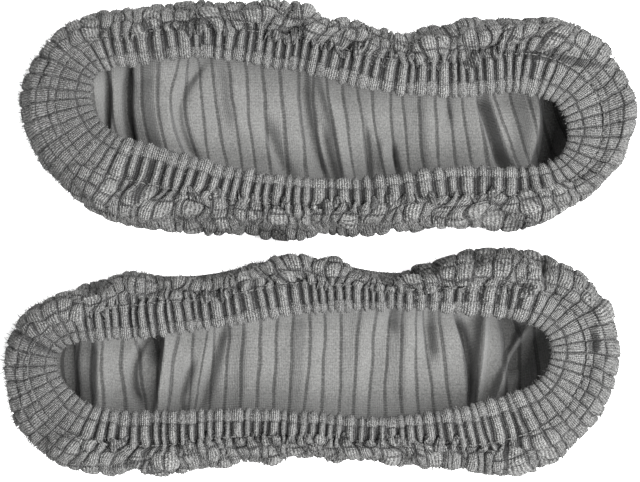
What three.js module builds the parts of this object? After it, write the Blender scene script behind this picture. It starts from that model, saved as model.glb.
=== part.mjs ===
// A pair of low overshoe gaiters: slip-on shoe covers of crinkled grey knit, each with a flat
// sole, a slumped wall and a round opening whose rim is a hem casing over a loop of elastic.
// The two covers lie side by side on their soles, as they lie when nobody wears them.
//
// Frame: millimetres, +X from heel to toe, +Y towards the left cover, +Z up, with the origin on
// the floor under the middle of the pair. "Outboard" is the side that faces away from the other
// cover and "inboard" the side that faces it.
//
// Each cover's fabric is divided into zones: the sole, four stretches of lower wall that stand
// still, and an outboard and an inboard shoulder with their halves of the hem, casing elastic
// and stitching, so that the outboard half of the rim can be pulled open.
import * as THREE from "three";

// ---- driving dimensions, mm ----
const FABRIC = 2; // thickness of the crinkled knit, puffs included
const SOLE_TOP = 2; // upper face of the sole, which lies flat on the floor
const WALL_TOP = 34.3; // where the standing lower wall ends
const SHOULDER_FOOT = 35.2; // lowest edge of the part of the wall that moves with the rim
const BULGE_HEIGHT = 22; // height at which the wall reaches the cover's outline
const FOOT_TUCK = 4; // how far the wall's foot lies inside the outline
const SEAM_GAP = 0.5; // clearance between neighbouring pieces
const END_PULL = 1.2; // how far a piece's end is pulled back, measured along the outline

const HEM_WIDTH = 13; // the folded band round the opening, from its lip to its stitched edge
const HEM_LIP_HEIGHT = 39; // middle of the lip above the floor
const HEM_SLOPE = THREE.MathUtils.degToRad(19); // the band rises away from the opening
const HEM_HALF = 3.1; // half of the band's thickness over both layers
const HEM_LAYER = 1.4; // one layer of the band
const ELASTIC_WIDTH = 8;
const ELASTIC_THICK = 1;
const ELASTIC_START = 3; // from the lip to the near edge of the elastic
const ELASTIC_OFFSET = 0.7; // middle of each elastic layer below or above the band's middle
const THREAD_RADIUS = 0.6;
const THREAD_FROM_EDGE = 0.9; // the seam line, measured in from the band's stitched edge

const STATIONS = 26; // sections along each half of a cover, from heel to toe
const RAIL_STEPS = 400; // samples used to measure a half outline's length
const END_ZONE = 4; // stations on each side of a heel or toe that belong to its own wall

// ---- outlines seen from above, mm ----
// "rim" is the inner edge of the opening, listed once round, and "wall" the outline of the
// whole cover, whose side lists run from heel to toe. A cover that lies slumped has no straight
// or round outline, so both are smooth closed curves through the points where they turn.
const LEFT = {
  name: "left",
  rim: [[-109, 66], [-106, 81], [-82, 86], [-56, 89], [-29, 85], [0, 80], [25, 73], [60, 70],
    [98, 72], [114, 65], [119, 50], [113, 39], [97, 35], [70, 36], [30, 31], [-9, 30],
    [-41, 35], [-69, 43], [-98, 52]],
  wall: {
    heel: [-146, 66],
    toe: [153, 53],
    outboard: [[-139, 90], [-115, 109], [-82, 115], [-21, 115], [13, 108], [39, 102],
      [64, 103], [108, 108], [140, 93], [154, 70]],
    inboard: [[-131, 31], [-102, 13], [-56, 7], [-6, 4], [37, 5], [65, 9], [105, 11],
      [141, 29]],
  },
};
const RIGHT = {
  name: "right",
  rim: [[-126, -60], [-118, -72], [-106, -80], [-86, -82], [-40, -81], [0, -83], [30, -85],
    [50, -83], [80, -77], [104, -67], [110, -58], [110, -47], [100, -39], [70, -34],
    [40, -32], [-6, -34], [-36, -39], [-66, -43], [-86, -46], [-111, -47], [-123, -51]],
  wall: {
    heel: [-154, -55],
    toe: [146, -54],
    outboard: [[-152, -79], [-137, -103], [-104, -112], [-72, -113], [-42, -105],
      [5, -107], [35, -106], [65, -114], [90, -115], [120, -104], [140, -79]],
    inboard: [[-142, -35], [-115, -22], [-92, -14], [-60, -14], [-10, -4], [28, -13],
      [55, -13], [78, -6], [110, -9], [138, -26]],
  },
};

// ---- materials ----
const knit = (shade) =>
  new THREE.MeshStandardMaterial({ color: shade, roughness: 0.95, metalness: 0 });
const FINISH = {
  outerKnit: () => knit(0x8c8c8b),
  innerKnit: () => knit(0x7f7f7e),
  elastic: () => new THREE.MeshStandardMaterial({ color: 0x55565a, roughness: 0.7 }),
  thread: () => new THREE.MeshStandardMaterial({ color: 0x6c6c6d, roughness: 0.6 }),
};

// ---- stations: where a section of a cover starts and which way it points ----

function smoothLoop(corners) {
  const points = corners.map(([x, y]) => new THREE.Vector3(x, y, 0));
  return new THREE.CatmullRomCurve3(points, true, "centripetal");
}

// Half of a wall's outline, from heel to toe, as a function of the fraction of its length.
function halfRail(wall, side) {
  const around = [wall.heel, ...wall.outboard, wall.toe, ...[...wall.inboard].reverse()];
  const curve = smoothLoop(around);
  const toeAt = (wall.outboard.length + 1) / around.length;
  const end = side === "outboard" ? toeAt : toeAt - 1;
  const points = [];
  const lengths = [];
  for (let k = 0; k <= RAIL_STEPS; k += 1) {
    const point = curve.getPoint((1 + (end * k) / RAIL_STEPS) % 1);
    lengths.push(k === 0 ? 0 : lengths[k - 1] + point.distanceTo(points[k - 1]));
    points.push(point);
  }
  const total = lengths[RAIL_STEPS];
  const at = (fraction) => {
    const wanted = fraction * total;
    let k = 1;
    while (k < RAIL_STEPS && lengths[k] < wanted) k += 1;
    const step = (wanted - lengths[k - 1]) / (lengths[k] - lengths[k - 1]);
    return points[k - 1].clone().lerp(points[k], step);
  };
  return { at, total };
}

function railsOf(cover) {
  const rim = smoothLoop(cover.rim).getPoints(2 * RAIL_STEPS);
  return {
    rim: rim.slice(1).map((point, k) => new THREE.Line3(rim[k], point)),
    outboard: halfRail(cover.wall, "outboard"),
    inboard: halfRail(cover.wall, "inboard"),
  };
}

// A place round the cover is 0 at the heel, 1 at the toe by way of the outboard side, and 2 at
// the heel again by way of the inboard side. Its section starts at the nearest point of the rim.
function stationAt(rails, place) {
  const turn = ((place % 2) + 2) % 2;
  const rail = turn <= 1 ? rails.outboard : rails.inboard;
  const end = rail.at(turn <= 1 ? turn : 2 - turn);
  const start = new THREE.Vector3();
  const candidate = new THREE.Vector3();
  let width = Infinity;
  for (const step of rails.rim) {
    step.closestPointToPoint(end, true, candidate);
    const distance = candidate.distanceTo(end);
    if (distance < width) {
      width = distance;
      start.copy(candidate);
    }
  }
  return { start, outward: end.sub(start).normalize(), width };
}

// A profile point is [distance outward from the rim, height].
function placePoint(station, [distance, height]) {
  return station.start.clone().addScaledVector(station.outward, distance).setZ(height);
}

// ---- profiles, each a closed polygon of [distance, height] for a ring of a given width ----

// A point of the hem band, from its distance along the band and its height over the middle.
function onBand(along, over) {
  const cos = Math.cos(HEM_SLOPE);
  const sin = Math.sin(HEM_SLOPE);
  return [along * cos - over * sin, HEM_LIP_HEIGHT + along * sin + over * cos];
}

function casingProfile() {
  const inner = HEM_HALF - HEM_LAYER;
  const middle = HEM_WIDTH / 2;
  const outerLip = [[2, HEM_HALF], [0.6, 2.2], [0, 0], [0.6, -2.2], [2, -HEM_HALF]];
  const innerLip = [[2, -inner], [1.5, 0], [2, inner]];
  return [
    [HEM_WIDTH, HEM_HALF],
    [middle, HEM_HALF],
    ...outerLip,
    [middle, -HEM_HALF],
    [HEM_WIDTH, -HEM_HALF],
    [HEM_WIDTH, -inner],
    [middle, -inner],
    ...innerLip,
    [middle, inner],
    [HEM_WIDTH, inner],
  ].map(([along, over]) => onBand(along, over));
}

function elasticProfile(layer) {
  const low = layer * ELASTIC_OFFSET - ELASTIC_THICK / 2;
  const high = low + ELASTIC_THICK;
  const far = ELASTIC_START + ELASTIC_WIDTH;
  return [[ELASTIC_START, low], [far, low], [far, high], [ELASTIC_START, high]]
    .map(([along, over]) => onBand(along, over));
}

function threadProfile() {
  const middle = HEM_WIDTH - THREAD_FROM_EDGE;
  const corners = 6;
  return Array.from({ length: corners }, (_, k) => {
    const angle = (2 * Math.PI * k) / corners;
    return onBand(middle + THREAD_RADIUS * Math.cos(angle), THREAD_RADIUS * Math.sin(angle));
  });
}

function shoulderProfile(width) {
  const start = HEM_WIDTH + 1.2;
  const part = (share) => start + share * (width - start);
  return [
    [start, 45.6],
    [part(0.3), 48.2],
    [part(0.65), 47.6],
    [part(0.9), 43.5],
    [width - 0.5, SHOULDER_FOOT],
    [width - 0.5 - FABRIC, SHOULDER_FOOT],
    [part(0.9) - FABRIC, 42.3],
    [part(0.65) - FABRIC / 2, 45.4],
    [part(0.3), 46],
    [start, 43.6],
  ];
}

function wallProfile(width) {
  const footEdge = width - FOOT_TUCK;
  return [
    [width - 1.2, WALL_TOP],
    [width, BULGE_HEIGHT],
    [width - 0.8, 10],
    [footEdge, 0],
    [footEdge - FABRIC, 0],
    [width - 0.8 - FABRIC, 10],
    [width - FABRIC, BULGE_HEIGHT - 1],
    [width - 1.2 - FABRIC, WALL_TOP],
  ];
}

// ---- solids ----

// Turns a triangle list round if it faces inwards, so that every solid faces outwards.
function facingOut(points, triangles) {
  let volume = 0;
  for (const [a, b, c] of triangles) {
    volume += points[a].dot(points[b].clone().cross(points[c])) / 6;
  }
  return volume > 0 ? triangles : triangles.map(([a, b, c]) => [a, c, b]);
}

function solid(points, triangles) {
  const geometry = new THREE.BufferGeometry().setFromPoints(points);
  geometry.setIndex(facingOut(points, triangles).flat());
  geometry.computeVertexNormals();
  return geometry;
}

// A solid with the same kind of profile at every station between two places round a cover.
function sweep(rails, from, to, profile) {
  const pull = END_PULL / rails.outboard.total;
  const count = Math.round((to - from) * STATIONS);
  const points = [];
  let outline = [];
  for (let k = 0; k <= count; k += 1) {
    const place = from + ((to - from) * k) / count;
    const pulled = THREE.MathUtils.clamp(place, from + pull, to - pull);
    const station = stationAt(rails, pulled);
    outline = profile(station.width);
    points.push(...outline.map((corner) => placePoint(station, corner)));
  }
  const n = outline.length;
  const triangles = [];
  for (let k = 0; k < count; k += 1) {
    for (let j = 0; j < n; j += 1) {
      const next = (j + 1) % n;
      const [a, b] = [k * n + j, k * n + next];
      triangles.push([a, b, b + n], [a, b + n, a + n]);
    }
  }
  const flat = outline.map(([distance, height]) => new THREE.Vector2(distance, height));
  const turned = THREE.ShapeUtils.isClockWise(flat);
  for (const cap of THREE.ShapeUtils.triangulateShape(turned ? [...flat].reverse() : flat, [])) {
    const [a, b, c] = turned ? cap.map((corner) => n - 1 - corner) : cap;
    const far = count * n;
    triangles.push(turned ? [a, b, c] : [c, b, a]);
    triangles.push(turned ? [far + c, far + b, far + a] : [far + a, far + b, far + c]);
  }
  return solid(points, triangles);
}

// The sole is a flat plate out to a small gap inside the wall's foot.
function soleGeometry(rails) {
  const inset = FOOT_TUCK + FABRIC + SEAM_GAP;
  const shape = new THREE.Shape();
  for (let k = 0; k < 2 * STATIONS; k += 1) {
    const station = stationAt(rails, k / STATIONS);
    const edge = placePoint(station, [station.width - inset, 0]);
    if (k === 0) shape.moveTo(edge.x, edge.y);
    else shape.lineTo(edge.x, edge.y);
  }
  shape.closePath();
  return new THREE.ExtrudeGeometry(shape, { depth: SOLE_TOP, bevelEnabled: false });
}

// ---- the pair ----
function buildCover(cover) {
  const rails = railsOf(cover);
  const group = new THREE.Group();
  const add = (name, geometry, finish) => {
    const mesh = new THREE.Mesh(geometry, FINISH[finish]());
    mesh.name = `${cover.name}_${name}`;
    group.add(mesh);
  };

  add("sole_panel", soleGeometry(rails), "innerKnit");

  const end = END_ZONE / STATIONS;
  const walls = { heel: [-end, end], outboard: [end, 1 - end], toe: [1 - end, 1 + end],
    inboard: [1 + end, 2 - end] };
  for (const [zone, [from, to]] of Object.entries(walls)) {
    add(`${zone}_wall`, sweep(rails, from, to, wallProfile), "outerKnit");
  }

  const halves = { outboard: [0, 1], inboard: [1, 2] };
  for (const [side, [from, to]] of Object.entries(halves)) {
    add(`${side}_shoulder`, sweep(rails, from, to, shoulderProfile), "outerKnit");
    add(`${side}_hem_casing`, sweep(rails, from, to, casingProfile), "outerKnit");
    add(`${side}_elastic`, sweep(rails, from, to, () => elasticProfile(-1)), "elastic");
    add(`${side}_hem_stitching`, sweep(rails, from, to, threadProfile), "thread");
  }

  // The elastic's second end laps over the first one inside the casing, beside the heel.
  const lap = [2 - 2 / STATIONS, 2 - 1 / STATIONS];
  add("elastic_lap", sweep(rails, ...lap, () => elasticProfile(1)), "elastic");
  return group;
}

// The origin lies under the middle of the pair's own box.
function centredPair(covers) {
  const pair = new THREE.Group();
  pair.add(...covers);
  const middle = new THREE.Box3().setFromObject(pair).getCenter(new THREE.Vector3());
  for (const cover of covers) cover.position.set(-middle.x, -middle.y, 0);
  return pair;
}

export default centredPair([buildCover(LEFT), buildCover(RIGHT)]);
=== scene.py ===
"""The looks of a pair of overshoe gaiters: grey crinkled knit gathered on elastic.

Each cover is built from its CAD outlines as a cloth skin of rounded puffs and folds: a hem
casing round the opening, a wall that slumps round it, and the smooth striped inside. Lengths
here are in millimetres in the row frame, and turn into metres when a mesh is made.
"""

import bpy
import numpy as np
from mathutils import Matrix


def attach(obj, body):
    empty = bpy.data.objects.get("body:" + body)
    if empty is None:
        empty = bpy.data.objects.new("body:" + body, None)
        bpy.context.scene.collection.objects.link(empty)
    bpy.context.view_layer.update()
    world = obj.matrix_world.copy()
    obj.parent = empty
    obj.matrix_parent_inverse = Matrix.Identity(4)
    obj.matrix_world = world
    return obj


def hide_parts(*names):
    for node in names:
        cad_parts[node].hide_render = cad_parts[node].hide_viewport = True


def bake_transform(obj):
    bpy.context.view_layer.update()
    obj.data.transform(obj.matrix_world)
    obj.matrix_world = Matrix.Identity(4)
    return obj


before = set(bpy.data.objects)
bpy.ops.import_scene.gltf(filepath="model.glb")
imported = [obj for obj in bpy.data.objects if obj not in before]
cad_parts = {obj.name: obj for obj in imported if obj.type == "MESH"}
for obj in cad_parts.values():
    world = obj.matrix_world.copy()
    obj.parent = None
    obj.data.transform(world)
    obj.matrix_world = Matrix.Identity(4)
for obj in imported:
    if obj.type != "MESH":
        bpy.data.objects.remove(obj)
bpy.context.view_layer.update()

MM = 0.001
COVERS = ("left", "right")
OUTBOARD = {"left": 1, "right": -1}  # the way the outboard side faces along Y

# ---- heights at which part.mjs draws its outlines ----
LIP_HEIGHT = 39.0
BULGE_HEIGHT = 22.0

# ---- the knit ----
RING = 2048  # samples round each outline
SIDE_PITCH = 5.4  # width of a gathered puff column along the sides, over the hem
END_PITCH = 4.8  # and round the heel and toe
# The flat sizes are guesses, meant to agree with the area of the finished meshes.
FLAT_COLUMN = 7.6  # width of a column in the flat cloth
FLAT_HEM = 20.0  # height of each of the hem's two layers in the flat cloth
FLAT_WALL = 66.0  # height of the flat wall
PER_COLUMN = (-0.5, -0.46, -0.42, -0.37, -0.27, -0.1, 0.1, 0.27, 0.37, 0.42, 0.46)
END_ROWS = (-1.0, -0.5, 0, 0.47, 1.0, 1.17, 1.47, 2.0, 2.25, 2.5, 2.75, 3.0)
SIDE_ROWS = (-1.0, -0.55, -0.2, 0.4, 1.02, 1.06, 1.5, 1.85, 2.15, 2.4, 2.7, 3.0)

# ---- the band from the rim's underside (-1) by the lip (0), the hem's seam (1) and the widest
#      outline (2) to the foot (3): distance out as a share of its width, and height ----
PROFILE_AT = (-1.0, -0.5, -0.14, 0, 0.14, 0.35, 0.65, 1.0, 1.3, 1.65, 1.9, 2.1, 2.4, 2.7, 3.0)
PROFILE_OUT = (0.49, 0.25, 0.06, 0, 0.04, 0.15, 0.3, 0.49, 0.66, 0.84, 0.94, 0.98, 0.99, 0.96,
               0.87)
PROFILE_UP = (40.0, 38.5, 38.0, 40.0, 42.4, 43.6, 44.2, 44.0, 45.6, 45.4, 41.5, 35.0, 23.0, 11.0,
              1.6)

STITCHES_PER_COLUMN = 2
PILE_COUNT = 16000  # fluffy ends modelled on each cover

# ---- painted shade on the tiles round the ends: least darkening, on the groove's scale; chosen ----
HEEL_END_SHADE = 0.43
TOE_END_SHADE = 0.34

# ---- heights of the outer face ----
PUFF_FLAT = 1.25  # the tiles of the ends
PUFF_TALL = 3.4  # the puffs over the hem at the sides
GAP_DEPTH = 0.7  # how far the gaps between those sink
BILLOW = 0.9
PILLOW = 1.7
LOOSE_INSET = 0.5
LUMP_SHARE = 0.7  # of its stated height that a lump reaches
LUMP_EDGE = 0.38  # lower is steeper at a lump's edge and flatter on top
FUZZ = 0.16
SKIN_INSET = 1.2
WALL_THICK = 2.6

# ---- heights of the inner face ----
FLOOR_HEIGHT = 13
FLOOR_RISE = 21  # from there up to the rim
FLOOR_REACH = 20  # distance over which it rises
FLOOR_LOWEST = 2.6
POCKET_SINK = 19  # how much less it rises at the pocket's end
POCKET_REACH = 8  # and over how much less distance
# painted shade at the pocket's end, on the groove's scale
POCKET_SHADE = 0.8
FOLD_SCALE = 1.7
STRIPE_SINK = 0.7
RIPPLE = 1.1

# ---- the elastic inside the casing ----
ELASTIC_WIDTH = 7.2
ELASTIC_THICK = 1.0
ELASTIC_HEIGHT = 40.7
LAP_SPAN = 0.012  # reach of the lap on each side of the heel, as a share of the loop

# ---- the cloth simulation of the slack wall ----
SLUMP_AROUND = 230
SLUMP_DOWN = 20
SLUMP_FRAMES = 22
SLUMP_SPARE = 0.24  # spare cloth along the sides, as a share of the band
SLUMP_OUT = 2.5  # most that a fold may stand out of the outline
SLUMP_IN = 6.0

# ---- the inside: dark stripes across the foot, as X at the +Y rim, half way and -Y rim ----
STRIPES = {
    "left": ((-87, -88, -81), (-78, -79, -73), (-68, -73, -63), (-64, -67, -58), (-60, -58, -54),
             (-53, -51, -45), (-45, -42, -38), (-37, -35, -31), (-29, -27, -24), (-20, -18, -16),
             (-11, -9, -6), (-3, -2, 4), (3, 7, 12), (11, 14, 18), (18, 22, 24), (25, 28, 33),
             (35, 36, 39), (40, 43, 45), (49, 50, 52), (57, 58, 59), (63, 66, 68), (70, 73, 76),
             (78, 81, 84), (83, 92, 98), (92, 98, 103)),
    "right": ((-111, -114, -111), (-106, -108, -105), (-96, -99, -95), (-93, -90, -85),
              (-85, -81, -80), (-68, -73, -75), (-63, -64, -65), (-54, -59, -63),
              (-52, -54, -55), (-45, -46, -48), (-37, -39, -39), (-29, -30, -31),
              (-21, -22, -23), (-13, -14, -15), (-5, -5, -8), (3, 2, 1), (11, 10, 10),
              (20, 18, 16), (28, 26, 24), (36, 33, 32), (41, 40, 40), (48, 48, 49),
              (51, 54, 57), (59, 62, 65), (66, 73, 74), (81, 79, 76), (88, 93, 91)),
}
STRIPE_PITCH = 8.0

POCKET_END = {"left": 1, "right": -1}  # the end, along X, where the inside lies deepest

# ---- folds of the inside: X at the same three places, share of the way across where it starts
#      and ends, width towards the heel and the toe, height ----
FOLDS = {
    "left": ((-107, -107, -107, -0.2, 1.2, 2, 2, -7), (-95, -96, -92, -0.3, 0.95, 3.5, 2, -10),
             (-77, -79, -70, -0.3, 1.3, 9, 20, 6), (-57, -71, -58, -0.1, 1.1, 1.8, 4, -4),
             (-58, -58, -58, 0.8, 1.2, 3, 3, -3), (-35, -28, -16, 0.35, 1.2, 1.5, 5, -4),
             (-45, -41, -36, -0.2, 0.7, 5, 6, 3), (-8, -5, 5, -0.2, 1.2, 4, 2.5, -4),
             (0, 8, 13, -0.2, 1.2, 2.5, 4, 3), (-3, 1, 8, 0.4, 1.2, 1.2, 2, -3),
             (18, 23, 25, 0.35, 1.2, 1.5, 1.2, -3), (30, 31, 33, 0.45, 1.0, 3, 3, 3),
             (35, 36, 40, 0.5, 1.2, 1.5, 1.2, -4), (53, 54, 56, -0.2, 1.2, 4, 6, 2),
             (62, 64, 67, -0.2, 0.5, 1.5, 2.5, -2.5), (77, 84, 91, 0.0, 1.2, 1.5, 3, -5),
             (82, 89, 96, -0.2, 1.1, 2, 5, 3), (104, 107, 99, -0.3, 1.3, 9, 2, 7),
             (114, 115, 110, -0.3, 1.3, 4, 6, -8)),
    "right": ((-127, -127, -125, -0.3, 1.3, 14, 5, -9), (-108, -109, -108, -0.2, 1.3, 4, 6, 5),
              (-79, -94, -86, -0.1, 1.0, 2, 3, -4), (-80, -82, -84, -0.2, 0.5, 5, 1.5, -8),
              (-75, -78, -81, -0.2, 1.2, 1.3, 6, 6), (-70, -70, -70, 0.78, 1.2, 3, 4, -6),
              (-62, -66, -74, 0.35, 0.95, 1.5, 3, -3.5), (-48, -54, -61, -0.2, 1.1, 3, 4, -4),
              (-36, -36, -38, -0.2, 1.2, 4, 9, 2), (-6, -7, -9, -0.2, 1.2, 5, 9, 1.5),
              (22, 20, 18, -0.2, 1.2, 4, 6, 1.5), (35, 35, 35, -0.2, 0.3, 3, 3, -4),
              (44, 43, 43, -0.2, 1.2, 4, 5, 2), (53, 55, 57, -0.2, 0.55, 3, 3, -4),
              (65, 74, 74, 0.0, 1.2, 1.2, 2.5, -7), (81, 79, 76, -0.2, 1.2, 2, 3, 6),
              (91, 96, 88, -0.2, 0.8, 4, 7, -9), (108, 95, 84, 0.1, 1.2, 2, 2.5, 7),
              (114, 106, 97, -0.2, 1.2, 3.5, 6, -5)),
}

# ---- larger folds of the outside, as rounded lumps: X, Y, half length, half width, turn in
#      degrees, height; a negative height is a hollow ----
LUMPS = {
    "left": ((112, 97, 30, 9, -12, 5), (112, 87, 29, 2.4, -8, -5),
             (75, 99, 14, 8, 10, 4), (-22, 108, 9, 8, 0, 4),
             (-4, 107, 9, 8, 0, 3.5), (16, 102, 11, 7, -15, 3), (-96, 105, 9, 8, 20, 3.5),
             (-81, 109, 8, 8, 0, 3), (-120, 95, 14, 8, 35, 4), (-90, 17, 17, 7, -25, 5),
             (-108, 28, 14, 6, -30, 3.5), (107, 20, 18, 8, 15, 3.5), (42, 10, 8, 5, 0, 3),
             (55, 97, 9, 5, 30, 3), (-53, 110, 12, 6, 0, 3)),
    "right": ((-128, -37, 20, 9, 24, 5), (-136, -49, 15, 2.2, -28, -5),
              (-94, -20, 13, 8, 15, 4), (-15, -11, 11, 7, 5, 4.5),
              (5, -10, 11, 7, -5, 4), (66, -16, 9, 9, 20, 4.5), (92, -13, 15, 8, 0, 4),
              (121, -20, 14, 9, -35, 4), (-115, -101, 16, 8, -15, 4), (-76, -104, 15, 7, 0, 4),
              (-26, -100, 10, 7, 0, 3), (56, -105, 12, 7, -10, 3.5), (88, -106, 18, 8, 0, 4),
              (106, -91, 14, 9, 25, 3.5), (131, -49, 3, 6, 0, -8), (136, -33, 7, 5, -60, 3)),
}


# ---- a loose end of the sewing thread, as X and Y along it ----
LOOSE_THREAD = {"right": ((124, -15), (126.5, -18), (125.5, -22.5), (129, -25), (129, -29.5))}


# ---------------------------------------------------------------- numbers and noise

def ease(x):
    """Smooth step from 0 at x = 0 to 1 at x = 1."""
    x = np.clip(x, 0, 1)
    return x * x * (3 - 2 * x)


def smooth_ring(values, sigma):
    """Gaussian smoothing of samples spaced evenly round a closed loop; sigma in samples."""
    spectrum = np.fft.rfft(values, axis=0)
    k = np.arange(len(spectrum)) * 2 * np.pi / len(values)
    damp = np.exp(-0.5 * (k * sigma) ** 2)
    return np.fft.irfft(spectrum * damp.reshape((-1,) + (1,) * (values.ndim - 1)),
                        len(values), axis=0)


class Noise:
    """Smooth noise from -1 to 1, on a lattice that repeats along x after `across` cells."""

    def __init__(self, rng, across, down=64):
        self.grid = rng.uniform(-1, 1, (down, across))

    def __call__(self, x, y):
        down, across = self.grid.shape
        x0, y0 = np.floor(x).astype(int), np.floor(y).astype(int)
        tx, ty = ease(x - x0), ease(y - y0)
        xa, xb, ya, yb = x0 % across, (x0 + 1) % across, y0 % down, (y0 + 1) % down
        top = self.grid[ya, xa] * (1 - tx) + self.grid[ya, xb] * tx
        low = self.grid[yb, xa] * (1 - tx) + self.grid[yb, xb] * tx
        return top * (1 - ty) + low * ty


def spline(knots, values, x):
    """Cubic through (knots, values) at x."""
    knots, values = np.asarray(knots, float), np.asarray(values, float)
    slope = np.gradient(values, knots)
    i = np.clip(np.searchsorted(knots, x, side="right") - 1, 0, len(knots) - 2)
    step = knots[i + 1] - knots[i]
    t = (x - knots[i]) / step
    a, b = values[i], values[i + 1]
    return ((2 * t**3 - 3 * t**2 + 1) * a + (t**3 - 2 * t**2 + t) * step * slope[i]
            + (3 * t**2 - 2 * t**3) * b + (t**3 - t**2) * step * slope[i + 1])


def catmull(a, b, c, d, t):
    return b + 0.5 * t * (c - a + t * (2 * a - 5 * b + 4 * c - d + t * (3 * (b - c) + d - a)))


def upsample(grid, rows, columns):
    """Smooth values of a grid of points at fractional rows and columns; columns wrap round."""
    down, around = grid.shape[:2]
    r0, c0 = np.floor(rows).astype(int), np.floor(columns).astype(int)
    tr, tc = (rows - r0)[..., None], (columns - c0)[..., None]
    lines = []
    for dr in (-1, 0, 1, 2):
        r = np.clip(r0 + dr, 0, down - 1)
        lines.append(catmull(*(grid[r, (c0 + dc) % around] for dc in (-1, 0, 1, 2)), tc))
    return catmull(*lines, tr)


# ---------------------------------------------------------------- outlines from the CAD

def node_points(name):
    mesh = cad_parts[name].data
    flat = np.zeros(len(mesh.vertices) * 3)
    mesh.vertices.foreach_get("co", flat)
    return flat.reshape(-1, 3) / MM


def outline_at(names, height, turn):
    """The closed outline that these nodes draw at a height, evenly sampled from the heel.
    turn is -1 for clockwise seen from above, and 1 for the other way."""
    points = np.vstack([node_points(n) for n in names])
    level = np.unique(points[abs(points[:, 2] - height) < 0.02][:, :2].round(3), axis=0)
    centre = (level.min(0) + level.max(0)) / 2
    angle = np.arctan2(level[:, 1] - centre[1], level[:, 0] - centre[0])
    level = level[np.argsort((turn * (angle - np.pi)) % (2 * np.pi))]
    closed = np.vstack([level, level[:1]])
    along = np.r_[0, np.cumsum(np.hypot(*np.diff(closed, axis=0).T))]
    even = np.linspace(0, along[-1], RING, endpoint=False)
    curve = np.column_stack([np.interp(even, along, closed[:, k]) for k in (0, 1)])
    return smooth_ring(curve, 14)


class Ring:
    """The band between a cover's rim and its outline. A place round it is a share of a turn,
    from the heel by way of the outboard side."""

    def __init__(self, cover):
        self.cover = cover
        self.turn = -OUTBOARD[cover]
        sides = ("outboard", "inboard")
        zones = ("heel", "outboard", "toe", "inboard")
        lip = outline_at([f"{cover}_{s}_hem_casing" for s in sides], LIP_HEIGHT, self.turn)
        self.wall = outline_at([f"{cover}_{z}_wall" for z in zones], BULGE_HEIGHT, self.turn)
        near = np.array([np.argmin(((lip - p) ** 2).sum(1)) for p in self.wall])
        steps = np.arange(RING)
        drift = (near - steps + RING / 2) % RING - RING / 2
        match = steps + smooth_ring(drift, 20)
        self.lip = np.column_stack([self._at(lip[:, k], match / RING) for k in (0, 1)])
        self.centre = (self.wall.min(0) + self.wall.max(0)) / 2
        self.half_length = np.ptp(self.wall[:, 0]) / 2
        outward = self.wall - self.lip
        self.width = np.hypot(*outward.T)
        self.outward = outward / self.width[:, None]
        off_middle = abs(self.wall[:, 0] - self.centre[0]) / self.half_length
        self.end = smooth_ring(ease((off_middle - 0.68) / 0.18), 12)
        self._lay_columns()

    @staticmethod
    def _at(values, place):
        x = (place % 1) * RING
        i = np.floor(x).astype(int)
        t = x - i
        return values[i % RING] * (1 - t) + values[(i + 1) % RING] * t

    def at(self, name, place):
        values = getattr(self, name)
        if values.ndim == 1:
            return self._at(values, place)
        return np.stack([self._at(values[:, k], place) for k in range(values.shape[1])], -1)

    def _lay_columns(self):
        """Places of the grooves between puff columns, with uneven widths."""
        rng = np.random.default_rng(11 + self.turn)
        line = self.lip + self.outward * (0.35 * self.width)[:, None]
        step = np.hypot(*(np.roll(line, -1, 0) - line).T)
        spread = Noise(rng, 14)(np.arange(RING) / RING * 14, np.zeros(RING))
        pitch = SIDE_PITCH * (1 + 0.3 * spread) * (1 - self.end) + END_PITCH * self.end
        count = np.r_[0, np.cumsum(step / pitch)]
        self.columns = 2 * int(round(count[-1] / 2))
        count *= self.columns / count[-1]
        places = np.arange(RING + 1) / RING
        even = np.arange(self.columns)
        loose = 1 - 0.7 * self.at("end", np.interp(even, count, places))
        uneven = even + rng.uniform(-0.24, 0.24, len(even)) * loose
        grooves = np.interp(uneven, np.r_[count[:-1] - self.columns, count],
                            np.r_[places[:-1] - 1, places])
        self.grooves = np.r_[grooves - 1, grooves, grooves + 1]

    def place_of(self, column):
        """Place round the ring of a column coordinate; whole numbers are the grooves."""
        return np.interp(column, np.arange(-self.columns, 2 * self.columns), self.grooves)


# ---------------------------------------------------------------- the cloth's shape

def base_points(ring, place, across):
    """The smooth skin, before folds and puffs."""
    out = spline(PROFILE_AT, PROFILE_OUT, across)
    up = spline(PROFILE_AT, PROFILE_UP, across)
    width = ring.at("width", place)
    flat = ring.at("lip", place) + ring.at("outward", place) * (out * width)[..., None]
    return np.concatenate([flat, up[..., None]], -1)


def normals(points, turn):
    """Unit normals, out of the cloth, of a grid of points that closes on itself sideways."""
    around = np.roll(points, -1, 1) - np.roll(points, 1, 1)
    down = np.gradient(points, axis=0)
    n = np.cross(around, down) * -turn
    return n / np.maximum(np.linalg.norm(n, axis=-1, keepdims=True), 1e-9)


def plain_object(name, points, faces):
    mesh = bpy.data.meshes.new(name)
    mesh.from_pydata((points * MM).tolist(), [], faces.tolist())
    thing = bpy.data.objects.new(name, mesh)
    bpy.context.scene.collection.objects.link(thing)
    return thing


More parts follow.
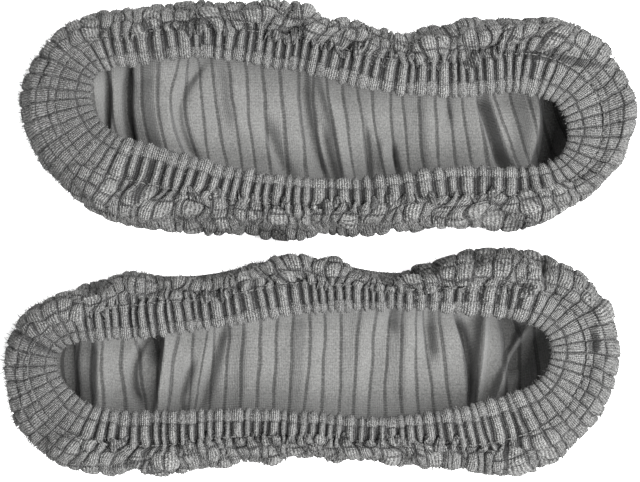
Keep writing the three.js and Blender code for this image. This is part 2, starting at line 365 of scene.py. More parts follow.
def slump_cloth(ring):
    """The wall's folds: Cloth on the smooth band, pinned at the seam and the foot, with spare
    length that has to buckle. Returns the band's points before and after."""
    place, across = np.meshgrid(np.arange(SLUMP_AROUND) / SLUMP_AROUND,
                                np.linspace(1.0, 3.0, SLUMP_DOWN), indexing="xy")
    smooth = base_points(ring, place, across)
    rng = np.random.default_rng(31 + ring.turn)
    lumps = Noise(rng, 66)(place * 66, across * 3)
    free = ease((across - 1.0) / 0.3) * ease((3.0 - across) / 0.3)
    start = smooth + normals(smooth, ring.turn) * (1.5 * lumps * free)[..., None]
    faces = grid_faces(SLUMP_DOWN, SLUMP_AROUND, closed=True)
    cloth = plain_object(f"{ring.cover}_slump", start.reshape(-1, 3), faces)
    pins = cloth.vertex_groups.new(name="pins")
    tight = cloth.vertex_groups.new(name="tight")
    ends = ring.at("end", place)
    held = np.maximum(ease((1.12 - across) / 0.12) + ease((across - 2.93) / 0.07), 0.5 * ends)
    for i, (pin, end) in enumerate(zip(held.ravel(), ends.ravel())):
        pins.add([i], float(pin), "REPLACE")
        tight.add([i], float(end), "REPLACE")
    modifier = cloth.modifiers.new("slump", "CLOTH")
    settings = modifier.settings
    settings.quality = 5
    settings.mass = 0.2
    settings.tension_stiffness = settings.compression_stiffness = 12
    settings.shear_stiffness = 4
    settings.bending_stiffness = 1.2
    settings.air_damping = 2
    settings.vertex_group_mass = "pins"
    settings.vertex_group_shrink = "tight"
    settings.shrink_min = -SLUMP_SPARE
    settings.shrink_max = 0.0
    settings.effector_weights.gravity = 0.4
    modifier.collision_settings.use_collision = False
    modifier.collision_settings.use_self_collision = True
    modifier.collision_settings.self_distance_min = 0.0016
    modifier.collision_settings.collision_quality = 2
    scene = bpy.context.scene
    for step in range(1, SLUMP_FRAMES + 1):
        scene.frame_set(step)
    moved = cloth.evaluated_get(bpy.context.evaluated_depsgraph_get()).to_mesh()
    flat = np.zeros(len(moved.vertices) * 3)
    moved.vertices.foreach_get("co", flat)
    scene.frame_set(1)
    bpy.data.objects.remove(cloth, do_unlink=True)
    folded = flat.reshape(SLUMP_DOWN, SLUMP_AROUND, 3) / MM
    return smooth, soften(folded)


def soften(grid):
    """A grid that closes on itself sideways, with each point moved halfway to its neighbours."""
    beside = (np.roll(grid, 1, 1) + np.roll(grid, -1, 1)) / 2
    grid = (grid + beside) / 2
    grid[1:-1] = (grid[1:-1] + (grid[:-2] + grid[2:]) / 2) / 2
    return grid


def tame(ring, smooth, folded):
    """Caps how far the folds stand out of the band or sink into it."""
    n = normals(smooth, ring.turn)
    moved = folded - smooth
    out = (moved * n).sum(-1)
    capped = np.where(out > 0, SLUMP_OUT * np.tanh(out / SLUMP_OUT),
                      SLUMP_IN * np.tanh(out / SLUMP_IN))
    return moved + n * (capped - out)[..., None]


class Skin:
    """One cover's cloth, as a function of column and place across the ring."""

    def __init__(self, ring):
        self.ring = ring
        n = ring.columns
        rng = np.random.default_rng(50 + ring.turn)
        self.size = rng.uniform(0.7, 1.25, (len(END_ROWS), n))
        self.stagger = rng.uniform(-0.07, 0.07, (len(END_ROWS), n))
        self.stagger[5] = self.stagger[4]
        self.breadth = rng.uniform(0.5, 0.82, n)
        self.lip_dips = rng.uniform(0.25, 0.8, n)
        self.wander = Noise(rng, n)
        self.slant = Noise(rng, n // 6)
        self.billow = Noise(rng, n // 2)
        self.fine = Noise(rng, n * 5)
        self.seeds = rng.uniform(-0.36, 0.36, (8, n // 3, 2))
        self.seed_size = rng.uniform(0.4, 1.2, (8, n // 3))
        smooth, folded = slump_cloth(ring)
        self.fold = tame(ring, smooth, folded)

    def fold_at(self, place, across):
        rows = (np.clip(across, 1, 3) - 1) / 2 * (SLUMP_DOWN - 1)
        return upsample(self.fold, rows, place * SLUMP_AROUND)

    def shifted(self, column, across):
        """Columns wander, and slant below the seam."""
        ring = self.ring
        end = ring.at("end", ring.place_of(column))
        wander = 0.35 * self.wander(column, across * 2.4) * ease((across - 0.75) / 0.4)
        cells = self.slant.grid.shape[1]
        slant = 1.6 * self.slant(column * cells / ring.columns, across * 0.6 + 3)
        return column + (wander + slant * ease(across - 1)) * (1 - 0.75 * end)

    def pillows(self, column, across):
        """Rounded lumps with sharp creases between them, about three columns wide."""
        cells = self.seeds.shape[1]
        x = column * cells / self.ring.columns
        y = (across - 1) / 0.42 + 1
        near, next_near = np.full(x.shape, 9.0), np.full(x.shape, 9.0)
        size = np.ones(x.shape)
        for dr in (-1, 0, 1):
            r = np.floor(y).astype(int) + dr
            for dc in (-2, -1, 0, 1, 2):
                c = np.floor(x).astype(int) + dc
                shift = self.seeds[r % 8, c % cells]
                gap = np.hypot(x - c - 0.5 - 0.5 * (r % 2) - shift[..., 0],
                               y - r - 0.5 - shift[..., 1])
                closer = gap < near
                next_near = np.where(closer, near, np.minimum(next_near, gap))
                size = np.where(closer, self.seed_size[r % 8, c % cells], size)
                near = np.minimum(near, gap)
        rise = np.clip((next_near - near) / 0.32, 0, 1)
        return np.sqrt(1 - (1 - rise) ** 2), size

    def lumps(self, base):
        """Height of the named lumps over the points of the smooth skin, and how far each
        point lies in a hollow."""
        height = np.zeros(base.shape[:2])
        hollow = np.zeros(base.shape[:2])
        for x, y, long, wide, turn, tall in LUMPS[self.ring.cover]:
            a = np.radians(turn)
            dx, dy = base[..., 0] - x, base[..., 1] - y
            along = (dx * np.cos(a) + dy * np.sin(a)) / long
            side = (dy * np.cos(a) - dx * np.sin(a)) / wide
            dome = np.clip(1 - along**2 - side**2, 0, 1) ** LUMP_EDGE
            if tall > 0:
                height = np.maximum(height, LUMP_SHARE * tall * dome)
            else:
                height = height * (1 - dome) + tall * dome
                hollow = np.maximum(hollow, dome)
        return height, hollow

    def puffs(self, column, place, across):
        """Height of the puffs, and how deep in a groove each point lies, from 0 to 1."""
        ring = self.ring
        end = ring.at("end", place)
        k = np.floor(column).astype(int) % ring.columns
        x = abs(2 * (column - np.floor(column)) - 1)
        breadth = self.breadth[k]
        round_side = np.clip(1 - (x / breadth) ** 2.8, 0, 1) ** 0.55
        joined = 1 - self.lip_dips[k] * (1 - round_side)
        round_end = np.clip(1 - (x / 0.93) ** 4.5, 0, 1) ** 0.6
        flatter = 1 - (1 - end) * (1 - 0.85 * ease((across - 1.1) / 0.5))
        across_shape = round_side + (round_end - round_side) * flatter
        height = np.zeros_like(across)
        groove = np.ones_like(across)
        for row in range(len(END_ROWS) - 1):
            edges = []
            for edge in (row, row + 1):
                uneven = self.stagger[edge][k] * (0 < SIDE_ROWS[edge] < 3)
                side = SIDE_ROWS[edge] + uneven
                edges.append(side + (END_ROWS[edge] + 0.5 * uneven - side) * end)
            y = abs(2 * (across - edges[0]) / (edges[1] - edges[0]) - 1)
            down_shape = np.clip(1 - (y / 0.95) ** 5, 0, 1) ** 0.55
            tall = PUFF_FLAT + (PUFF_TALL - PUFF_FLAT) * (1 - flatter)
            if row in (2, 4):
                tall = tall * (0.7 + 0.3 * end)
            merged = 0.6 * (1 - end) if row in (2, 3) else 0.0
            beside = across_shape
            if row == 2:
                beside = joined + (across_shape - joined) * end
            shape = beside * (merged + (1 - merged) * down_shape)
            inside = y < 1
            height = np.where(inside, tall * self.size[row][k] * shape, height)
            groove = np.where(inside, 1 - shape, groove)
        return height, groove

    def points(self, column, across):
        """Grid of points of the outer face, with the normals of the folded skin under them."""
        ring = self.ring
        place = ring.place_of(self.shifted(column, across))
        base = base_points(ring, place, across)
        base += self.fold_at(place, across) * ease((across - 1) / 0.12)[..., None]
        n = normals(base, ring.turn)
        for _ in range(6):
            n = soften(n)
        n /= np.linalg.norm(n, axis=-1, keepdims=True)
        end = ring.at("end", place)
        loose = ease((across - 1.05) / 0.5) * ease((3.0 - across) / 0.4) * (1 - 0.8 * end)
        cells = self.billow.grid.shape[1]
        billow = 1 - 2 * abs(self.billow(column * cells / ring.columns, across * 3.7))
        puff, groove = self.puffs(column, place, across)
        pillow, size = self.pillows(column, across)
        upper = ease((across + 0.2) / 0.2) * ease((2.4 - across) / 0.3)
        lump, hollow = self.lumps(base)
        fuzz = FUZZ * self.fine(column * 5, across * 33)
        gap = groove * (1 - end) * ease((across - 0.3) / 0.1) * ease((1.2 - across) / 0.2)
        raised = (puff - GAP_DEPTH * gap
                  + (BILLOW * billow + PILLOW * pillow * size - LOOSE_INSET) * loose
                  + lump * upper + fuzz - SKIN_INSET)
        # painted shade in the creases between the pillows and in the hollows of the lumps, through
        # the groove value
        groove = np.maximum(groove, np.maximum((1 - pillow) * loose, hollow * upper))
        # painted shade round the ends, deeper at the heel than at the toe
        end_shade = np.where(base[..., 0] < 0, HEEL_END_SHADE, TOE_END_SHADE)
        groove = np.maximum(groove, end_shade * end)
        points = base + n * raised[..., None]
        points[..., 2] = np.maximum(points[..., 2], 0.4)
        return points, n, groove


# ---------------------------------------------------------------- meshes

def grid_faces(rows, columns, closed=False):
    """Quads of a grid, row by row; closed joins the last column to the first."""
    r, c = np.meshgrid(np.arange(rows - 1), np.arange(columns if closed else columns - 1),
                       indexing="ij")
    d = (c + 1) % columns
    return np.stack([r * columns + c, r * columns + d, (r + 1) * columns + d,
                     (r + 1) * columns + c], -1).reshape(-1, 4)


def make_mesh(name, points, faces, uv, groove, flip=False):
    """A mesh object from vertices in millimetres, quads, UVs in flat millimetres for each
    vertex, and for each vertex the groove value, by which the knits darken it: painted shade,
    and in the outer face's grooves partly a darker yarn."""
    mesh = bpy.data.meshes.new(name)
    faces = faces[:, ::-1] if flip else faces
    mesh.vertices.add(len(points))
    mesh.vertices.foreach_set("co", (points * MM).astype(np.float32).ravel())
    mesh.loops.add(faces.size)
    mesh.loops.foreach_set("vertex_index", faces.ravel().astype(np.int32))
    mesh.polygons.add(len(faces))
    starts = np.arange(0, faces.size, faces.shape[1], dtype=np.int32)
    mesh.polygons.foreach_set("loop_start", starts)
    mesh.polygons.foreach_set("use_smooth", np.ones(len(faces), bool))
    layer = mesh.uv_layers.new(name="cloth")
    layer.data.foreach_set("uv", uv[faces.ravel()].astype(np.float32).ravel())
    depth = mesh.attributes.new("groove", "FLOAT", "POINT")
    depth.data.foreach_set("value", groove.astype(np.float32))
    mesh.update(calc_edges=True)
    mesh.validate()
    piece = bpy.data.objects.new(name, mesh)
    bpy.context.scene.collection.objects.link(piece)
    return piece


def end_caps(outer_rows, inner_rows):
    """Quads, as rows of a shell's section, that fill the section. An odd number of the outer
    face's rows goes with each row of the inner face."""
    step = (outer_rows - 1) // (inner_rows - 1)
    quads = []
    for k in range(inner_rows - 1):
        near = outer_rows + inner_rows - 1 - k
        for j in range(step * k, step * k + step - 1, 2):
            quads.append((near, j, j + 1, j + 2))
        quads.append((near, step * k + step - 1, step * k + step, near - 1))
    return np.array(quads)


def sweep(name, outer, inner, uv, groove, flip):
    """A shell whose section is closed: outer face, then inner face, if any, the edges between
    them, and with an inner face its two ends. Both faces are grids of the same columns, with
    their rows in the same direction."""
    loop = outer if inner is None else np.concatenate([outer, inner[::-1]])
    rows, columns = loop.shape[:2]
    inner_rows = rows - len(outer)
    if inner_rows:
        back = np.linspace(len(uv) - 1, 0, inner_rows).astype(int)
        uv = np.concatenate([uv, uv[back]])
        # painted shade: the inner face gets a fixed groove value of 0.6, which the knit darkens
        groove = np.concatenate([groove, np.full((inner_rows, columns), 0.6)])
    faces = grid_faces(rows, columns)
    last = (rows - 1) * columns + np.arange(columns - 1)
    first = np.arange(columns - 1)
    seam = np.stack([last, last + 1, first + 1, first], -1)
    faces = np.vstack([faces, seam])
    if inner_rows:
        caps = end_caps(len(outer), inner_rows)
        faces = np.vstack([faces, caps * columns, (caps * columns + columns - 1)[:, ::-1]])
    return make_mesh(name, loop.reshape(-1, 3), faces, uv.reshape(-1, 2), groove.ravel(), flip)


HEM_ACROSS = np.r_[np.linspace(-1, -0.2, 8), np.linspace(-0.14, 0.3, 15),
                   np.linspace(0.325, 1.0, 30)]
WALL_ACROSS = np.r_[np.linspace(1.0, 2.1, 60), np.linspace(2.14, 3.0, 34)]


def half_slices(count):
    """Column ranges of the outboard and inboard halves of a full ring of samples."""
    half = count // 2
    return {"outboard": np.arange(0, half + 1), "inboard": np.r_[np.arange(half, count), 0]}


def outer_fabric(ring, skin, knit):
    """The hem casing and the wall of one cover, in outboard and inboard halves."""
    n = ring.columns
    column = (np.arange(n)[:, None] + 0.5 + np.array(PER_COLUMN)[None, :]).ravel()
    pieces, grids = {}, []
    for zone, across_values in (("hem", HEM_ACROSS), ("wall", WALL_ACROSS)):
        across, columns = np.meshgrid(across_values, column, indexing="ij")
        points, n_out, groove = skin.points(columns, across)
        down = np.minimum(across, 1) * FLAT_HEM + np.maximum(across - 1, 0) / 2 * FLAT_WALL
        uv = np.stack([columns * FLAT_COLUMN, down], -1)
        for side, keep in half_slices(len(column)).items():
            part_uv = uv[:, keep].copy()
            if side == "inboard":
                part_uv[:, -1, 0] += n * FLAT_COLUMN
            inner = None
            if zone == "wall":
                inner = (points - n_out * WALL_THICK)[::3][:, keep]
                inner[..., 2] = np.maximum(inner[..., 2], 0.9)
            name = f"{ring.cover}_{side}_{zone}_fabric"
            if inner is None:
                piece = make_mesh(name, points[:, keep].reshape(-1, 3),
                                  grid_faces(len(across_values), len(keep)),
                                  part_uv.reshape(-1, 2), groove[:, keep].ravel(), ring.turn < 0)
            else:
                piece = sweep(name, points[:, keep], inner, part_uv, groove[:, keep],
                              ring.turn < 0)
            piece.data.materials.append(knit)
            pieces[side, zone] = piece
        grids.append((points, n_out, uv, groove, across))
    return pieces, grids


def tubes(name, paths, radius, sides, material, uv=None):
    """Many round threads in one mesh. Paths is (threads, points along each, 3)."""
    count, steps = paths.shape[:2]
    along = np.gradient(paths, axis=1)
    along /= np.maximum(np.linalg.norm(along, axis=-1, keepdims=True), 1e-9)
    side = np.cross(along, np.array([0.37, 0.21, 0.9]))
    side /= np.maximum(np.linalg.norm(side, axis=-1, keepdims=True), 1e-9)
    other = np.cross(along, side)
    taper = radius * np.sqrt(np.clip(1 - abs(np.linspace(-1, 1, steps)) ** 6, 0.05, 1))
    turn = np.arange(sides) / sides * 2 * np.pi
    spoke = (side[:, :, None] * np.cos(turn)[:, None] + other[:, :, None] * np.sin(turn)[:, None])
    points = paths[:, :, None] + spoke * taper[None, :, None, None]
    t, k, j = np.meshgrid(np.arange(count), np.arange(steps - 1), np.arange(sides),
                          indexing="ij")
    start = (t * steps + k) * sides
    nxt = (j + 1) % sides
    faces = np.stack([start + j, start + sides + j, start + sides + nxt, start + nxt], -1)
    if uv is None:
        lengths = np.linspace(0, 1, steps)[None, :, None] * 3.0
        uv = np.stack(np.broadcast_arrays(lengths, np.arange(sides)[None, None, :] * 0.3), -1)
        uv = np.broadcast_to(uv, points.shape[:3] + (2,))
    else:
        uv = np.broadcast_to(uv[:, None, None, :], points.shape[:3] + (2,))
    piece = make_mesh(name, points.reshape(-1, 3), faces.reshape(-1, 4), uv.reshape(-1, 2),
                      np.zeros(points.size // 3))
    piece.data.materials.append(material)
    return piece


def pile(ring, grids, knit):
    """The short fluffy ends that stand out of the puffs."""
    rng = np.random.default_rng(90 + ring.turn)
    points, n_out, uv = (np.concatenate([g[k].reshape(-1, g[k].shape[-1]) for g in grids])
                         for k in range(3))
    groove, across = (np.concatenate([g[k].ravel() for g in grids]) for k in (3, 4))
    raised = np.flatnonzero((groove < 0.75) & (points[:, 2] > 3))
    odds = 1.0 + 3.0 * (abs(across[raised] - 2) < 0.4) + (abs(across[raised] - 0.1) < 0.3)
    picked = rng.choice(raised, PILE_COUNT, replace=False, p=odds / odds.sum())
    lean = n_out[picked] + rng.normal(0, 0.45, (PILE_COUNT, 3))
    short = np.where(across[picked] < 0.5, 0.6, 1.0)
    length = rng.uniform(0.6, 1.8, (PILE_COUNT, 1)) * short[:, None]
    curl = rng.normal(0, 0.25, (PILE_COUNT, 3))
    steps = np.linspace(0, 1, 3)[None, :, None]
    paths = (points[picked] - 0.2 * n_out[picked])[:, None] + lean[:, None] * length[:, None] * steps
    paths = paths + curl[:, None] * steps**2
    paths[..., 2] = np.maximum(paths[..., 2], 0.3)
    return tubes(f"{ring.cover}_pile", paths, 0.15, 3, knit, uv[picked])


def loose_end(ring, grids):
    """The loose end of thread, laid on top of the cloth, as short lengths that join."""
    knots = np.array(LOOSE_THREAD[ring.cover], float)
    at = np.linspace(0, len(knots) - 1, 33)
    flat = np.column_stack([spline(np.arange(len(knots)), knots[:, k], at) for k in (0, 1)])
    cloth = np.concatenate([g[0].reshape(-1, 3) for g in grids])
    beside = [np.hypot(*(cloth[:, :2] - p).T) < 1.5 for p in flat]
    height = np.convolve(np.pad([cloth[b, 2].max() for b in beside], 2, "edge"),
                         np.full(5, 0.2), "valid")
    path = np.column_stack([flat, height + 0.4])
    return np.stack([path[i:i + 5] for i in range(0, len(path) - 4, 4)])


def hem_thread(ring, skin, grids, thread):
    """The stitches of the hem's seam, each a short raised thread, and any loose end."""
    n = ring.columns
    per_stitch = 6
    column = np.arange(n * STITCHES_PER_COLUMN * per_stitch) / (STITCHES_PER_COLUMN * per_stitch)
    across, columns = np.meshgrid(np.array([0.99, 1.01, 1.03]), column, indexing="ij")
    points, n_out, _ = skin.points(columns, across)
    line = smooth_ring(points[1] + 0.5 * n_out[1], 2.5)
    stitches = line.reshape(-1, per_stitch, 3)[:, :5].copy()
    stitches[:, 0] -= 0.5 * n_out[1].reshape(-1, per_stitch, 3)[:, 0]
    stitches[:, 4] -= 0.5 * n_out[1].reshape(-1, per_stitch, 3)[:, 4]
    if ring.cover in LOOSE_THREAD:
        stitches = np.concatenate([stitches, loose_end(ring, grids)])
    return tubes(f"{ring.cover}_hem_thread", stitches, 0.32, 6, thread)


def band(name, ring, start, stop, drop, webbing):
    """A length of the flat elastic inside the casing, between two places round it."""
    steps = int(900 * (stop - start))
    place = np.linspace(start, stop, steps)
    out = ring.at("outward", place)
    middle = ring.at("lip", place) + out * (0.27 * ring.at("width", place))[:, None]
    ridge = 0.09 * np.sin(np.arange(steps) * np.pi * 0.5)
    half = ELASTIC_WIDTH / 2
    section = ((-half, 0), (-half, 1), (-half / 3, 1), (half / 3, 1), (half, 1), (half, 0),
               (half / 3, 0), (-half / 3, 0))
    rows = []
    for across, upper in section:
        z = ELASTIC_HEIGHT - drop + (ELASTIC_THICK / 2 + ridge) * (1 if upper else -1)
        flat = middle + out * across
        rows.append(np.column_stack([flat, np.broadcast_to(z, steps)]))
    outer = np.stack(rows)
    uv = np.stack(np.broadcast_arrays((place * 700)[None, :], np.arange(8.0)[:, None]), -1)
    piece = sweep(name, outer, None, uv, np.zeros(outer.shape[:2]), ring.turn > 0)
    piece.data.materials.append(webbing)
    return piece


def sole_fabric(ring, knit):
    """The part of the panel that lies under the foot: tiles below, smooth above."""
    x, y = floor_surface(ring, 0.88, 200, 70)[:2]
    tile = np.maximum(abs(2 * (x / 7.6 - np.floor(x / 7.6)) - 1) ** 8,
                      abs(2 * (y / 8.6 - np.floor(y / 8.6)) - 1) ** 8)
    under = np.stack([x, y, 0.25 + 0.55 * tile], -1)
    over = np.stack([x, y, np.full(x.shape, 2.2)], -1)
    uv = np.stack([x, y], -1)
    piece = sweep(f"{ring.cover}_sole_fabric", under, over, uv, tile, False)
    piece.data.materials.append(knit)
    return piece


# ---------------------------------------------------------------- the inside

def floor_surface(ring, reach, along, over):
    """Mapped grid inside the band: X from heel to toe, and share of the way from +Y to -Y."""
    edge = ring.lip + ring.outward * (reach * ring.width)[:, None]
    low, high = edge[:, 0].min(), edge[:, 0].max()
    theta = np.linspace(0.02, np.pi - 0.02, along)
    x = (low + high) / 2 - (high - low) / 2 * np.cos(theta)
    heel, toe = np.argmin(edge[:, 0]), np.argmax(edge[:, 0])
    loop = np.roll(edge, -heel, 0)
    toe = (toe - heel) % RING
    halves = loop[:toe + 1], np.vstack([loop[toe:], loop[:1]])[::-1]
    ya, yb = (np.interp(x, np.maximum.accumulate(s[:, 0]), s[:, 1]) for s in halves)
    top, bottom = np.maximum(ya, yb), np.minimum(ya, yb)
    share = np.linspace(0, 1, over)
    y = top[None, :] + (bottom - top)[None, :] * share[:, None]
    x = np.broadcast_to(x, y.shape)
    return x, y, np.broadcast_to(share[:, None], y.shape), edge


def distance_to(edge, x, y):
    """Distance of grid points to a closed outline."""
    best = np.full(x.shape, 1e9)
    for px, py in edge[::8]:
        best = np.minimum(best, (x - px) ** 2 + (y - py) ** 2)
    return np.sqrt(best)


def through(three, share):
    """The curve through three values at shares 0, 0.5 and 1."""
    a, b, c = three
    return a + (4 * b - 3 * a - c) * share + (2 * a - 4 * b + 2 * c) * share**2


def inner_floor(ring, knit):
    """The inner face: it falls from under the rim, with named folds and stripes across it. Its
    groove attribute carries painted shade: it darkens the low places and the pocket's end."""
    x, y, share, edge = floor_surface(ring, 0.46, 460, 170)
    depth = distance_to(edge, x, y)
    across = (share - 0.14) / 0.72
    rng = np.random.default_rng(70 + ring.turn)
    middle, half = (x.min() + x.max()) / 2, np.ptp(x) / 2
    sunk = ease((POCKET_END[ring.cover] * (x - middle) / half - 0.74) / 0.2)
    rise = FLOOR_RISE - POCKET_SINK * sunk
    z = FLOOR_HEIGHT + rise * (1 - ease(depth / (FLOOR_REACH - POCKET_REACH * sunk)))
    for top, mid, bottom, start, stop, heelward, toeward, height in FOLDS[ring.cover]:
        gap = x - through((top, mid, bottom), np.clip(across, -0.15, 1.15))
        width = np.where(gap < 0, heelward, toeward)
        along = ease((across - start) / 0.22) * ease((stop - across) / 0.22)
        z = z + FOLD_SCALE * height * along * np.exp(-(gap / width) ** 2) * ease(depth / 8)
    ripple, drift = Noise(rng, 64), Noise(rng, 64)
    z = z + RIPPLE * ripple(x / 11 + across * 1.3, across * 2.2) * ease(depth / 8)
    shares = np.clip(across[:, 0], -0.1, 1.1)
    stripes = np.array([through(three, shares) for three in STRIPES[ring.cover]])
    count = len(stripes)
    u = np.zeros(x.shape)
    for row in range(len(u)):
        line = np.maximum.accumulate(stripes[:, row] + np.arange(count) * 1e-3)
        knots = np.r_[line[0] - STRIPE_PITCH * 6, line, line[-1] + STRIPE_PITCH * 6]
        u[row] = np.interp(x[row], knots, np.r_[-6, np.arange(count), count + 5]) * STRIPE_PITCH
    u += 0.5 * drift(x / 9, y / 12)
    off = abs(u / STRIPE_PITCH - np.round(u / STRIPE_PITCH)) * STRIPE_PITCH
    z = z - STRIPE_SINK * np.exp(-(off / 0.8) ** 2)
    # painted shade in the low places and at the pocket's end, carried in the groove attribute
    low = ease((11 - z) / 9) * ease(depth / 8)
    pocket_shade = np.maximum(low, POCKET_SHADE * sunk * ease((FLOOR_REACH - depth) / 5))
    points = np.stack([x, y, np.maximum(z, FLOOR_LOWEST)], -1)
    uv = np.stack([u, y], -1)
    piece = make_mesh(f"{ring.cover}_floor_fabric", points.reshape(-1, 3),
                      grid_faces(*x.shape), uv.reshape(-1, 2), pocket_shade.ravel(), flip=True)
    piece.data.materials.append(knit)
    return piece


# ---------------------------------------------------------------- materials

class Graph:
    """Short names for the nodes that the fabric materials share."""

    def __init__(self, name):
        self.material = bpy.data.materials.new(name)
        self.material.use_nodes = True
        self.tree = self.material.node_tree
        self.shader = self.tree.nodes["Principled BSDF"]

    def put(self, socket, value):
        if isinstance(value, bpy.types.NodeSocket):
            self.tree.links.new(value, socket)
        else:
            socket.default_value = value

    def math(self, operation, a, b=0.0, c=0.0):
        node = self.tree.nodes.new("ShaderNodeMath")
        node.operation = operation
        for socket, value in zip(node.inputs, (a, b, c)):
            self.put(socket, value)
        return node.outputs[0]

    def remap(self, value, low, high, to_low, to_high):
        node = self.tree.nodes.new("ShaderNodeMapRange")
        for socket, item in zip(node.inputs, (value, low, high, to_low, to_high)):
            self.put(socket, item)
        return node.outputs[0]

    def noise(self, vector, scale, detail=2.0, rough=0.6):
        node = self.tree.nodes.new("ShaderNodeTexNoise")
        self.put(node.inputs["Vector"], vector)
        node.inputs["Scale"].default_value = scale
        node.inputs["Detail"].default_value = detail
        node.inputs["Roughness"].default_value = rough
        return node.outputs["Fac"]

    def cloth_uv(self):
        node = self.tree.nodes.new("ShaderNodeUVMap")
        node.uv_map = "cloth"
        split = self.tree.nodes.new("ShaderNodeSeparateXYZ")
        self.put(split.inputs[0], node.outputs[0])
        return split.outputs[0], split.outputs[1]

    def place(self):
        return self.tree.nodes.new("ShaderNodeTexCoord").outputs["Object"]

    def groove(self):
        node = self.tree.nodes.new("ShaderNodeAttribute")
        node.attribute_name = "groove"
        return node.outputs["Fac"]

    def wave(self, value, pitch):
        """Smooth ridges from 0 to 1 with this pitch."""
        turn = self.math("MULTIPLY", value, 2 * np.pi / pitch)
        return self.math("MULTIPLY_ADD", self.math("SINE", turn), 0.5, 0.5)

    def tint(self, value, dark, light):
        """Grey between two lightnesses, from a value between 0 and 1."""
        ramp = self.tree.nodes.new("ShaderNodeMix")
        ramp.data_type = "RGBA"
        self.put(ramp.inputs[0], value)
        ramp.inputs[6].default_value = (dark, dark, dark * 0.97, 1)
        ramp.inputs[7].default_value = (light, light, light * 0.975, 1)
        return ramp.outputs[2]

    def bump(self, height, distance, strength=1.0):
        node = self.tree.nodes.new("ShaderNodeBump")
        node.inputs["Strength"].default_value = strength
        node.inputs["Distance"].default_value = distance
        self.put(node.inputs["Height"], height)
        return node.outputs[0]

    def finish(self, colour, normal, rough=0.95):
        self.put(self.shader.inputs["Base Color"], colour)
        self.put(self.shader.inputs["Normal"], normal)
        self.shader.inputs["Roughness"].default_value = rough
        self.shader.inputs["Specular IOR Level"].default_value = 0.05
        self.shader.inputs["Sheen Weight"].default_value = 0.1
        self.shader.inputs["Sheen Roughness"].default_value = 0.6
        return self.material


def outer_knit():
    """Crinkled knit: ribs run from the rim outward, crossed by courses of small loops."""
    g = Graph("outer_knit")
    u, v = g.cloth_uv()
    place = g.place()
    wobble = g.math("MULTIPLY", g.math("SUBTRACT", g.noise(place, 700), 0.5), 1.1)
    rib = g.wave(g.math("ADD", u, wobble), 1.25)
    course = g.wave(g.math("ADD", v, g.math("MULTIPLY", wobble, 0.8)), 0.95)
    loops = g.math("MULTIPLY", rib, g.math("MULTIPLY_ADD", course, 0.65, 0.35))
    fluff = g.noise(place, 1500, 2.0, 0.7)
    height = g.math("MULTIPLY_ADD", fluff, 0.9, loops)
    patch = g.noise(place, 60, 2.0, 0.5)
    light = g.math("MULTIPLY_ADD", loops, 0.8, g.math("MULTIPLY_ADD", fluff, 2.4, -1.04))
    light = g.math("MULTIPLY_ADD", g.math("SUBTRACT", patch, 0.5), 0.35, light)
    # the groove value darkens the cloth: in the grooves between puffs partly a darker ground yarn
    # and partly painted shade; in the creases, hollows, ends and the wall's inner face painted shade
    sunk = g.remap(g.groove(), 0.3, 0.95, 0.0, 0.8)
    light = g.math("SUBTRACT", light, sunk)
    return g.finish(g.tint(light, 0.006, 0.185), g.bump(height, 0.0012, 1.0))


def inner_knit():
    """The smooth inner face, with a thin dark stripe along each groove of the outer face."""
    g = Graph("inner_knit")
    u, v = g.cloth_uv()
    place = g.place()
    grain = g.noise(place, 1100, 2.0, 0.6)
    wobble = g.math("MULTIPLY", g.math("SUBTRACT", g.noise(place, 420), 0.5), 0.5)
    cell = g.math("DIVIDE", g.math("ADD", u, wobble), STRIPE_PITCH)
    off = g.math("ABSOLUTE", g.math("SUBTRACT", cell, g.math("ROUND", cell)))
    stripe = g.remap(off, 0.06, 0.14, 1.0, 0.0)
    course = g.wave(g.math("ADD", v, wobble), 0.72)
    wale = g.wave(u, 0.9)
    height = g.math("MULTIPLY_ADD", course, 0.6, g.math("MULTIPLY_ADD", wale, 0.3, grain))
    light = g.math("MULTIPLY_ADD", grain, 1.0, g.math("MULTIPLY_ADD", course, 0.22, -0.12))
    patch = g.noise(place, 45, 2.0, 0.5)
    light = g.math("MULTIPLY_ADD", g.math("SUBTRACT", patch, 0.5), 0.25, light)
    light = g.math("MULTIPLY_ADD", stripe, -0.45, light)
    # painted shade from the groove attribute, in the low places and the pocket's end
    light = g.math("SUBTRACT", light, g.math("MULTIPLY", g.groove(), 0.2))
    return g.finish(g.tint(light, 0.02, 0.122), g.bump(height, 0.0004, 0.9))


def elastic_webbing():
    """Braided elastic: diagonal yarns that cross along the band."""
    g = Graph("elastic_webbing")
    u, v = g.cloth_uv()
    one = g.wave(g.math("MULTIPLY_ADD", v, 0.9, u), 1.3)
    two = g.wave(g.math("MULTIPLY_ADD", v, -0.9, u), 1.3)
    braid = g.math("MAXIMUM", one, two)
    light = g.math("MULTIPLY_ADD", g.noise(g.place(), 900), 0.4, g.math("MULTIPLY", braid, 0.6))
    return g.finish(g.tint(light, 0.06, 0.3), g.bump(braid, 0.0003, 0.7), 0.7)


def sewing_thread():
    """Two-ply thread: a fine twist along it."""
    g = Graph("sewing_thread")
    u, v = g.cloth_uv()
    twist = g.wave(g.math("ADD", u, v), 0.5)
    light = g.math("MULTIPLY_ADD", g.noise(g.place(), 1300), 0.4, g.math("MULTIPLY", twist, 0.5))
    return g.finish(g.tint(light, 0.02, 0.11), g.bump(twist, 0.0001, 0.6), 0.6)


# ---------------------------------------------------------------- stage

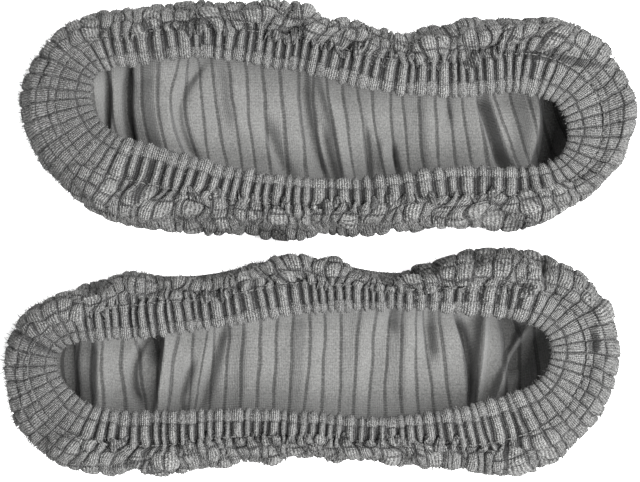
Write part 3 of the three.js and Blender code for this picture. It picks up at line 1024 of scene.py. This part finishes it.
def set_stage():
    scene = bpy.context.scene
    scene.view_settings.view_transform = "Standard"
    reach = 3.0
    floor = bpy.data.meshes.new("floor")
    floor.from_pydata([(-reach, -reach, 0), (reach, -reach, 0), (reach, reach, 0),
                       (-reach, reach, 0)], [], [(0, 1, 2, 3)])
    board = bpy.data.objects.new("floor", floor)
    scene.collection.objects.link(board)
    pale = bpy.data.materials.new("pale_floor")
    pale.use_nodes = True
    shader = pale.node_tree.nodes["Principled BSDF"]
    shader.inputs["Base Color"].default_value = (0.95, 0.95, 0.95, 1)
    floor.materials.append(pale)

    world = bpy.data.worlds.new("studio")
    world.use_nodes = True
    world.node_tree.nodes["Background"].inputs["Color"].default_value = (1, 1, 1, 1)
    world.node_tree.nodes["Background"].inputs["Strength"].default_value = 1.1
    scene.world = world

    lamp = bpy.data.lights.new("softbox", "AREA")
    lamp.shape = "RECTANGLE"
    lamp.size, lamp.size_y = 1.1, 0.9
    lamp.energy = 84
    softbox = bpy.data.objects.new("softbox", lamp)
    softbox.location = (0.5, -0.14, 1.02)
    softbox.rotation_euler = (-softbox.location).to_track_quat("-Z", "Y").to_euler()
    scene.collection.objects.link(softbox)

    eye = bpy.data.cameras.new("camera")
    eye.lens = 85
    eye.sensor_width = 36
    camera = bpy.data.objects.new("camera", eye)
    seen = 0.640 * 0.487  # metres across the view, at the height of the rims
    camera.location = (0, 0, seen * eye.lens / eye.sensor_width + 0.03)
    scene.collection.objects.link(camera)
    scene.camera = camera


def dress(piece):
    """Bakes the piece's placement into its mesh."""
    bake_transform(piece)


def main():
    set_stage()
    outer, inner = outer_knit(), inner_knit()
    webbing, sewing = elastic_webbing(), sewing_thread()
    for cover in COVERS:
        ring = Ring(cover)
        skin = Skin(ring)
        pieces, grids = outer_fabric(ring, skin, outer)
        for (side, zone), piece in pieces.items():
            dress(piece)
        floor = inner_floor(ring, inner)
        dress(floor)
        sole = sole_fabric(ring, outer)
        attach(sole, f"{cover}_cover")
        fluff = pile(ring, grids, outer)
        dress(fluff)
        loop = band(f"{cover}_elastic_loop", ring, 0.0, 1.0, 0.0, webbing)
        dress(loop)
        lap = band(f"{cover}_elastic_lap_end", ring, -LAP_SPAN, LAP_SPAN, 1.25, webbing)
        dress(lap)
        seam = hem_thread(ring, skin, grids, sewing)
        dress(seam)
        replace_nodes(cover)


def replace_nodes(cover):
    """Hides the CAD nodes that the built pieces stand for."""
    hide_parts(f"{cover}_sole_panel")
    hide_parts(f"{cover}_elastic_lap")
    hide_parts(f"{cover}_outboard_elastic", f"{cover}_inboard_elastic")
    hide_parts(f"{cover}_outboard_hem_stitching", f"{cover}_inboard_hem_stitching")
    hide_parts(f"{cover}_heel_wall", f"{cover}_toe_wall")
    for side in ("outboard", "inboard"):
        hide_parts(f"{cover}_{side}_hem_casing")
        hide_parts(f"{cover}_{side}_wall", f"{cover}_{side}_shoulder")


main()
